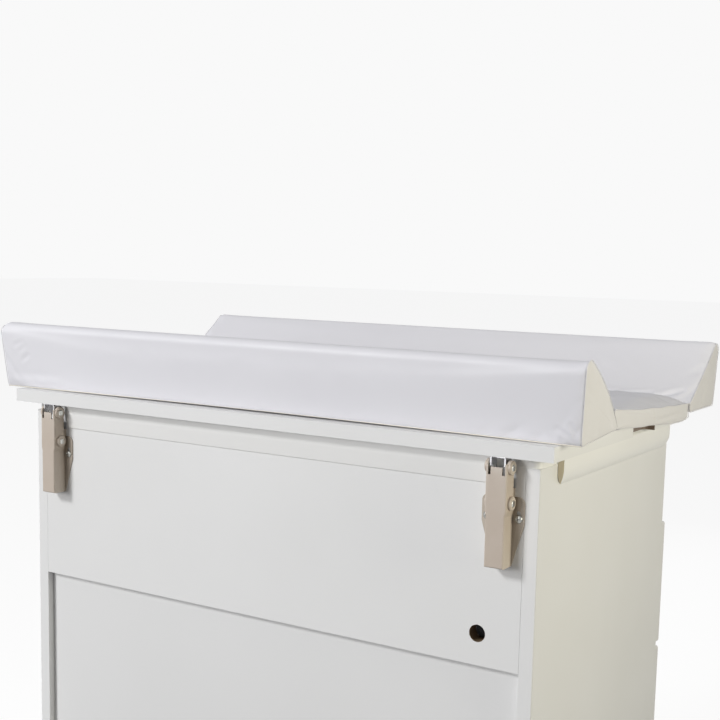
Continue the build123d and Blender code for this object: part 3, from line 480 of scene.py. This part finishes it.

# Lid board: the same lacquered board as the carcass, with a finger notch sawn into each end. The
# notches were sawn after lacquering, so their walls show the raw brown core, painted darker still as
# painted shade inside the notch.
lid_white, tree, shader, place, colour = lacquered("lid_white")
notch_y, notch_half = -0.032, 0.0421
facing = split(tree, tree.nodes["Texture Coordinate"].outputs["Normal"])
in_notch = reckon(tree, "COMPARE", split(tree, place)["Y"], notch_y, notch_half)
upright = reckon(tree, "COMPARE", facing["Z"], 0, 0.5)
sawn = reckon(tree, "MULTIPLY", in_notch, upright)
# Raw brown core colour, darkened further to stand for the shade deep in the notch.
core_and_painted_shade = mix_colour(tree, noise(tree, place, 700, 2), (0.13, 0.09, 0.065), (0.21, 0.15, 0.105))
tree.links.new(mix_colour(tree, sawn, colour, core_and_painted_shade), shader.inputs["Base Color"])
paint(lid_white, "lid_board")

# Changing pad: two foam wedges and a flat middle in white PVC, with a narrow seam ridge round each
# end. The cover swells between its seams and is creased where it was folded in its box. It lies
# loose on the lid, longer than the board, so its ends hang over a little.
cover, tree, shader, place = new_material("pad_cover")
tone = spread(tree, noise(tree, place, 5, 4), 0, 1)
sheeting = mix_colour(tree, tone, (0.772, 0.767, 0.806), (0.748, 0.743, 0.783))
facing = split(tree, tree.nodes["Texture Coordinate"].outputs["Normal"])
# Faces turned to the ends are painted greyer: painted shade on the end panels.
painted_end_shade = spread(tree, reckon(tree, "ABSOLUTE", facing["X"]), 0, 1, 0.6, 0.75)
tree.links.new(mix_colour(tree, painted_end_shade, sheeting, (0.745, 0.735, 0.752)), shader.inputs["Base Color"])
tree.links.new(spread(tree, noise(tree, place, 30), 0.50, 0.60), shader.inputs["Roughness"])
slack = add_bump(tree, shader, noise(tree, place, 22, 2), 0.0012, 0.25)
add_bump(tree, shader, noise(tree, place, 1300, 2), 0.00006, under=slack)

pad_z = 0.8232
pad_middle = -0.0024
pad_rear = 0.246
pad_depth = 0.505
bolster_w = 0.108
bolster_foot_h = 0.013
brow_drop, crest_in = 0.010, 0.013
tuck, tuck_h = 0.0015, 0.014
sole_count = 14
cloth_frames = 20
stations = [0.4 * u + 0.6 * math.sin(math.pi / 2 * u) for u in np.linspace(-1, 1, 161)]


def straight(start, end, count):
    """Points from start to end, without the end."""
    return np.array(start) + (np.array(end) - np.array(start)) * np.arange(count)[:, None] / count


def arc(start, via, end, count):
    """Points from start to end on the circle through all three, without the end."""
    a, b, c = complex(*start), complex(*via), complex(*end)
    w = (c - a) / (b - a)
    centre = a - (a - b) * (w - abs(w) ** 2) / (2j * w.imag)
    sweep = np.angle((c - centre) / (a - centre))
    turned = centre + (a - centre) * np.exp(1j * sweep * np.arange(count) / count)
    return np.column_stack((turned.real, turned.imag))


def wedge(lean, height, bulge):
    """Bolster section, (forward, up): outer face, brow, inner slope, foot and sole."""
    brow, crest, foot = (-lean, height - brow_drop), (crest_in - lean, height), (bolster_w, bolster_foot_h)
    slope = math.atan2(foot[0] - crest[0], height - foot[1])
    belly = ((crest[0] + foot[0]) / 2 + bulge * math.cos(slope),
             (height + foot[1]) / 2 + bulge * math.sin(slope))
    outer = straight((0, 0), brow, 22)
    outer[:, 0] += tuck * np.clip(1 - outer[:, 1] / tuck_h, 0, 1) ** 2
    return np.vstack((outer, arc(brow, (0.0042 - lean, height - 0.0026), crest, 8),
                      arc(crest, belly, foot, 20), straight(foot, (bolster_w, 0), 2),
                      straight((bolster_w, 0), (0, 0), sole_count)))


def sewn(name, rows, pillow=0):
    """Closed cover through rows of points, one for each station along X. Its ends may be pillowed."""
    rows = np.array(rows)
    count, around = rows.shape[:2]
    points = list(rows.reshape(-1, 3))
    turn = [(k, (k + 1) % around) for k in range(around)]
    faces = [(s * around + a, s * around + b, (s + 1) * around + b, (s + 1) * around + a)
             for s in range(count - 1) for a, b in turn]
    for station in (0, count - 1):
        middle = rows[station].mean(axis=0)
        ring = [station * around + k for k in range(around)]
        for share in (0.86, 0.7, 0.54, 0.38, 0.2):
            inner = [len(points) + k for k in range(around)]
            outward = np.array((math.copysign(pillow, middle[0]) * (1 - share ** 2), 0, 0))
            points += [middle + (p - middle) * share + outward for p in rows[station]]
            faces += [(ring[a], ring[b], inner[b], inner[a]) for a, b in turn]
            ring = inner
        points.append(middle + np.array((math.copysign(pillow, middle[0]), 0, 0)))
        faces += [(ring[a], ring[b], len(points) - 1) for a, b in turn]
    mesh = bpy.data.meshes.new(name)
    mesh.from_pydata([tuple(p) for p in points], [], faces)
    form = bmesh.new()
    form.from_mesh(mesh)
    bmesh.ops.recalc_face_normals(form, faces=form.faces)
    form.to_mesh(mesh)
    form.free()
    mesh.polygons.foreach_set("use_smooth", [True] * len(mesh.polygons))
    return placed(name, mesh)


def corners(mesh):
    """Vertex places and normals as arrays."""
    flat = np.empty(3 * len(mesh.vertices))
    mesh.vertices.foreach_get("co", flat)
    normals = np.array([v.normal for v in mesh.vertices])
    return flat.reshape(-1, 3).copy(), normals


def swell(piece, held, limit):
    """Blows the cover up between its held seams, no point further than the limit."""
    mesh = piece.data
    start = corners(mesh)[0]
    seams = piece.vertex_groups.new(name="seams")
    seams.add([int(k) for k in held], 1, "REPLACE")
    cloth = piece.modifiers.new("cover", "CLOTH")
    cloth.settings.vertex_group_mass = "seams"
    cloth.settings.use_pressure = True
    cloth.settings.uniform_pressure_force = 4
    cloth.settings.shrink_min = -0.006
    cloth.settings.bending_stiffness = 2
    cloth.settings.effector_weights.gravity = 0
    cloth.point_cache.frame_end = cloth_frames
    for moment in range(1, cloth_frames + 1):
        bpy.context.scene.frame_set(moment)
    blown = piece.evaluated_get(bpy.context.evaluated_depsgraph_get()).to_mesh()
    swollen = corners(blown)[0]
    piece.to_mesh_clear()
    piece.modifiers.remove(cloth)
    piece.vertex_groups.clear()
    bpy.context.scene.frame_set(1)
    move = swollen - start
    far = np.linalg.norm(move, axis=1, keepdims=True) + 1e-9
    start += move / far * limit * np.tanh(far / limit)
    mesh.vertices.foreach_set("co", start.ravel())
    mesh.update()


def crease(piece, lines):
    """Presses folds into a cover: each from start to end, with a depth and a width."""
    places, normals = corners(piece.data)
    for start, end, depth, width in lines:
        start, end = np.array(start), np.array(end)
        along = end - start
        share = np.clip((places - start) @ along / (along @ along), 0, 1)
        off = np.linalg.norm(places - start - share[:, None] * along, axis=1) / width
        fade = 0.35 + 0.65 * np.sin(np.pi * np.clip(share, 0.08, 0.92))
        lift = 0.55 * np.exp(-(off - 1.8) ** 2) - np.exp(-off ** 2)
        places += normals * (depth * fade * lift)[:, None]
    piece.data.vertices.foreach_set("co", places.ravel())
    piece.data.update()


def finish_cover(piece, node, folds=()):
    """Rounds the cover with one subdivision, folds it and puts it in the solid's place."""
    smooth = piece.modifiers.new("smooth", "SUBSURF")
    smooth.levels = smooth.render_levels = 1
    settle(piece)
    piece.data.materials.clear()
    piece.data.materials.append(cover)
    crease(piece, folds)
    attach(piece, "lid")
    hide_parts(node)


def sole_sag(t):
    """How far the sole of a bolster lifts off the lid between its ends."""
    return 0.0021 * (1 - t * t) ** 1.3


def bolster(name, base_y, ahead, lean, height, bulge, half, splay, peak, rounding, foot_lift):
    """Wedge cover along X with rounded crest ends, and its end seams. One end may be pinched to a
    peak and have its foot pulled up."""
    rows = []
    for t in stations:
        drop = rounding * np.clip((abs(t) - 0.978) / 0.022, 0, 1) ** 2
        if t < 0 and peak:
            drop = -peak * np.clip((-t - 0.982) / 0.018, 0, 1) ** 2
        across, up = wedge(lean, height - drop, bulge).T
        reach = pad_middle + t * (half + splay * up / height)
        sole = sole_sag(t) * np.clip(1 - across / 0.03, 0, 1)
        sole += foot_lift * np.clip((-t - 0.93) / 0.07, 0, 1) * np.clip(across / bolster_w, 0, 1)
        sole = np.where(up < 0.0005, sole, 0)
        rows.append(np.column_stack((reach, base_y + ahead * across, pad_z + up + sole)))
    piece = sewn(name, rows)
    around = len(rows[0])
    underside = (0, *range(around - sole_count, around))
    sole_points = [s * around + k for s in range(len(rows)) for k in underside]
    end_points = [*range(around), *range((len(rows) - 1) * around, len(rows) * around)]
    swell(piece, np.unique(sole_points + end_points), 0.0013)
    return piece, [rows[0], rows[-1]]


rear, rear_seams = bolster("pad_rear_cover", pad_rear, -1, lean=0.008, height=0.096, bulge=0.0070,
                           half=0.4564, splay=0.0062, peak=0.0014, rounding=0.005, foot_lift=0.008)
back_y = pad_rear + 0.005
finish_cover(rear, "pad_rear_bolster", [
    ((0.4322, back_y, 0.8856), (0.413, back_y, 0.8926), 0.0006, 0.0036),
    ((0.4238, back_y, 0.8787), (0.4089, back_y, 0.8869), 0.0005, 0.0034),
    ((0.4178, back_y, 0.8642), (0.405, back_y, 0.8724), 0.0005, 0.0034),
    ((0.4330, back_y, 0.8325), (0.345, back_y, 0.8350), -0.0010, 0.0060),
    ((-0.456, back_y, 0.826), (-0.431, back_y, 0.842), 0.0009, 0.0030),
    ((-0.456, back_y, 0.826), (-0.424, back_y, 0.832), 0.0008, 0.0026),
    ((-0.456, back_y, 0.828), (-0.447, back_y, 0.848), 0.0008, 0.0026),
    ((-0.462, back_y, 0.913), (-0.456, back_y, 0.906), 0.0006, 0.0022),
])

front_y = pad_rear - pad_depth
front, front_seams = bolster("pad_front_cover", front_y, 1, lean=0.011, height=0.092, bulge=-0.001,
                             half=0.455, splay=0.001, peak=0, rounding=0.0022, foot_lift=0)
finish_cover(front, "pad_front_bolster", [
    ((-0.300, front_y + 0.1065, 0.838), (-0.345, front_y + 0.100, 0.842), 0.0014, 0.0035),
    ((-0.352, front_y + 0.104, 0.839), (-0.396, front_y + 0.097, 0.845), 0.0014, 0.0035),
    ((-0.405, front_y + 0.104, 0.839), (-0.440, front_y + 0.090, 0.851), 0.0016, 0.0040),
    ((-0.300, front_y + 0.045, 0.893), (-0.330, front_y + 0.058, 0.880), 0.0008, 0.0035),
    ((-0.338, front_y + 0.040, 0.897), (-0.352, front_y + 0.055, 0.883), 0.0007, 0.0030),
])

mattress_h, mattress_crown, mattress_half = 0.021, 0.004, 0.4535
mattress_gap = 0.0003
top_count = 48
near_y = pad_rear - bolster_w - mattress_gap
far_y = pad_rear - pad_depth + bolster_w + mattress_gap
rows = []
for t in stations:
    droop = np.clip((-t - 0.93) / 0.07, 0, 1)
    top = straight((near_y, mattress_h), (far_y, mattress_h), top_count)
    share = (near_y - top[:, 0]) / (near_y - far_y)
    crown = mattress_crown * np.sin(np.pi * share)
    waves = np.sin(share * 23 + 2.0 * np.sin(7 * t) + 1.4 * np.sin(3 * t + 4 * share))
    ripple = 0.0005 * waves * np.sin(np.pi * share)
    top[:, 1] += crown + ripple + droop * (0.0105 - 0.0195 * (1 - (1 - share) ** 2.6))
    section = np.vstack((top, straight((far_y, top[-1, 1]), (far_y, 0), 5),
                         straight((far_y, 0), (near_y, 0), 30),
                         straight((near_y, 0), (near_y, top[0, 1]), 5)))
    along, up = section.T
    hang = np.interp(along, (-0.155, -0.125, -0.080, -0.030, 0.010, 0.040, 0.080, 0.138),
                     (-0.0060, -0.0095, -0.0085, -0.0042, -0.0005, 0.0005, 0.0035, 0.009))
    past_board = np.clip((-t - 0.966) / 0.034, 0, 1) ** 0.7
    up = up + np.where(up < 0.004, past_board * hang, 0)
    rows.append(np.column_stack((np.full(len(section), pad_middle + t * mattress_half), along, pad_z + up)))
mattress = sewn("pad_mattress_cover", rows, 0.0016)
around = len(rows[0])
held = [s * around + k for s in range(len(rows)) for k in (0, *range(top_count, around))]
held += [*range(around), *range((len(rows) - 1) * around, len(mattress.data.vertices))]
swell(mattress, np.unique(held), 0.003)
end_x = pad_middle - 0.4545
finish_cover(mattress, "pad_mattress", [
    ((end_x, 0.002, pad_z + 0.018), (end_x, -0.002, pad_z - 0.002), 0.0012, 0.0028),
    ((end_x, 0.124, pad_z + 0.026), (end_x, 0.118, pad_z + 0.012), 0.0010, 0.0026),
    ((end_x, -0.012, pad_z + 0.003), (end_x, -0.110, pad_z + 0.003), 0.0009, 0.0024),
])
mattress_seams = [rows[0], rows[-1]]

# Seam ridges: where the end panels are sewn in, the seam allowance stands up as a narrow ridge
# of the same PVC. A thicker piping runs over the ends of the flat middle, and a woven tape is sewn
# along the hem at the rear, whose cream colour is a painted reflection of light from the lid.
ridge = bpy.data.node_groups.new("seam_ridge", "GeometryNodeTree")
ridge.interface.new_socket("Geometry", in_out="OUTPUT", socket_type="NodeSocketGeometry")
ridge.interface.new_socket("Geometry", in_out="INPUT", socket_type="NodeSocketGeometry")
ridge_r = ridge.interface.new_socket("Radius", in_out="INPUT", socket_type="NodeSocketFloat")
ridge_cover = ridge.interface.new_socket("Material", in_out="INPUT", socket_type="NodeSocketMaterial")
step = {name: ridge.nodes.new(kind) for name, kind in (
    ("in", "NodeGroupInput"), ("line", "GeometryNodeMeshToCurve"), ("even", "GeometryNodeResampleCurve"),
    ("round", "GeometryNodeCurvePrimitiveCircle"), ("tube", "GeometryNodeCurveToMesh"),
    ("smooth", "GeometryNodeSetShadeSmooth"), ("real", "GeometryNodeRealizeInstances"),
    ("skin", "GeometryNodeSetMaterial"), ("out", "NodeGroupOutput"))}
step["even"].mode = "LENGTH"
step["even"].inputs["Length"].default_value = 0.0025
step["round"].inputs["Resolution"].default_value = 8
step["tube"].inputs["Fill Caps"].default_value = True
for source, output, target, socket in (
        ("in", "Geometry", "line", "Mesh"), ("line", "Curve", "even", "Curve"),
        ("even", "Curve", "tube", "Curve"), ("in", "Radius", "round", "Radius"),
        ("round", "Curve", "tube", "Profile Curve"),
        ("tube", "Mesh", "smooth", "Geometry"), ("smooth", "Geometry", "real", "Geometry"),
        ("real", "Geometry", "skin", "Geometry"), ("in", "Material", "skin", "Material"),
        ("skin", "Geometry", "out", "Geometry")):
    ridge.links.new(step[source].outputs[output], step[target].inputs[socket])

hem_tape_painted_reflection, tree, shader, place = new_material("hem_tape_painted_reflection")
weave = noise(tree, place, 900, 2, (1, 0.3, 1))
# Cream tint of the hem tape: painted reflection of light from the lid.
painted_reflection_cream = mix_colour(tree, weave, (0.80, 0.765, 0.69), (0.74, 0.70, 0.62))
tree.links.new(painted_reflection_cream, shader.inputs["Base Color"])
tree.links.new(spread(tree, weave, 0.55, 0.7), shader.inputs["Roughness"])
add_bump(tree, shader, weave, 0.0001)


def ridge_along(name, lines, closed, radius, material):
    """Round ridge of this radius along lines, closed into rings if asked, riding on the lid."""
    points, edges = [], []
    for line in lines:
        first = len(points)
        points += [tuple(p) for p in line]
        count = len(line) if closed else len(line) - 1
        edges += [(first + k, first + (k + 1) % len(line)) for k in range(count)]
    piece = grown(name, points, edges, ridge, ((ridge_r, radius), (ridge_cover, material)))
    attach(piece, "lid")


ridge_along("pad_seams", rear_seams + front_seams + mattress_seams, True, 0.0004, cover)
ridge_along("pad_mattress_piping", [seam[:top_count + 1] for seam in mattress_seams], False, 0.0010, cover)
hem_half, hem_out, hem_up = 0.4556, 0.0004, 0.0007
hem = [(pad_middle + t * hem_half, pad_rear + hem_out - tuck, pad_z + hem_up + sole_sag(t))
       for t in np.linspace(-1, 1, 60)]
ridge_along("pad_hem", [hem], False, 0.0007, hem_tape_painted_reflection)

# Studio: a pale floor and backdrop, whose paleness only the camera and gloss see, so that it puts
# no light on the table. Soft square lamps stand behind the table, beside it and in front, and the
# camera is at the photograph's place.
floor_half = 30.0
floor_mesh = bpy.data.meshes.new("floor")
floor_corners = (-1, -1), (1, -1), (1, 1), (-1, 1)
floor_mesh.from_pydata([(x * floor_half, y * floor_half, 0) for x, y in floor_corners], [], [(0, 1, 2, 3)])
floor = placed("floor", floor_mesh)


def seen_plainly(tree):
    """1 for what the camera or a gloss sees, 0 for the light that falls on the table."""
    rays = tree.nodes.new("ShaderNodeLightPath").outputs
    return reckon(tree, "MAXIMUM", rays["Is Camera Ray"], rays["Is Glossy Ray"])


floor_glow, backdrop_pale, room_glow = 0.888, 0.947, 0.20
floor_paint = bpy.data.materials.new("floor_pale")
floor_paint.use_nodes = True
tree = floor_paint.node_tree
shader = tree.nodes["Principled BSDF"]
shader.inputs["Base Color"].default_value = (0.15, 0.15, 0.15, 1)
shader.inputs["Roughness"].default_value = 0.9
shader.inputs["Specular IOR Level"].default_value = 0
shader.inputs["Emission Color"].default_value = (1, 1, 1, 1)
glow = reckon(tree, "MULTIPLY", seen_plainly(tree), floor_glow)
tree.links.new(glow, shader.inputs["Emission Strength"])
floor_mesh.materials.append(floor_paint)

world = bpy.data.worlds.new("studio")
bpy.context.scene.world = world
world.use_nodes = True
tree = world.node_tree
room = tree.nodes["Background"]
room.inputs["Color"].default_value = (0.98, 0.985, 1, 1)
room.inputs["Strength"].default_value = room_glow
backdrop = tree.nodes.new("ShaderNodeBackground")
backdrop.inputs["Color"].default_value = (backdrop_pale, backdrop_pale, backdrop_pale, 1)
either = tree.nodes.new("ShaderNodeMixShader")
tree.links.new(seen_plainly(tree), either.inputs["Fac"])
tree.links.new(room.outputs["Background"], either.inputs[1])
tree.links.new(backdrop.outputs["Background"], either.inputs[2])
tree.links.new(either.outputs["Shader"], tree.nodes["World Output"].inputs["Surface"])


def soft_lamp(name, spot, aim, size, watts, colour, beam=180):
    """Square lamp at a spot, turned to its aim, with a beam of so many degrees."""
    lamp = bpy.data.lights.new(name, "AREA")
    lamp.size = size
    lamp.energy = watts
    lamp.color = colour
    lamp.spread = math.radians(beam)
    holder = placed(name, lamp)
    holder.location = spot
    holder.rotation_euler = (Vector(aim) - Vector(spot)).to_track_quat("-Z", "Y").to_euler()
    holder.visible_camera = False
    return holder


table_middle = (0, 0, 0.6)
soft_lamp("key", (3.22, 4.9, 3.96), table_middle, 1.2, 224, (1, 1, 1))
soft_lamp("low", (2.38, 5.32, 1.72), table_middle, 1.82, 112, (1, 1, 1))
soft_lamp("side", (-1.6, 0.24, 0.94), (-0.4, 0.2, 0.8), 0.5, 10.1, (1, 0.955, 0.775))
fill = soft_lamp("front", (0.6, -3.6, 0.9), table_middle, 1.3, 10, (1, 1, 1), 60)
fill.visible_glossy = False

yaw, pitch, roll = (math.radians(a) for a in (31.99, 7.30, 1.26))
across = Vector((-math.cos(yaw), -math.sin(yaw), 0))
ahead = Vector((math.sin(yaw) * math.cos(pitch), -math.cos(yaw) * math.cos(pitch), -math.sin(pitch)))
above = across.cross(ahead)
right = across * math.cos(roll) + above * math.sin(roll)
up = above * math.cos(roll) - across * math.sin(roll)
turn = Matrix((right, up, -ahead)).transposed().to_4x4()
lens = bpy.data.cameras.new("camera")
lens.sensor_width = 36
lens.lens = 60.747
lens.shift_x = -0.004
lens.shift_y = 0.0697
lens.clip_end = 100
camera = placed("camera", lens)
camera.matrix_world = Matrix.Translation((-0.9566, 1.5003, 1.0297)) @ turn
bpy.context.scene.camera = camera
bpy.context.scene.view_settings.view_transform = "Standard"
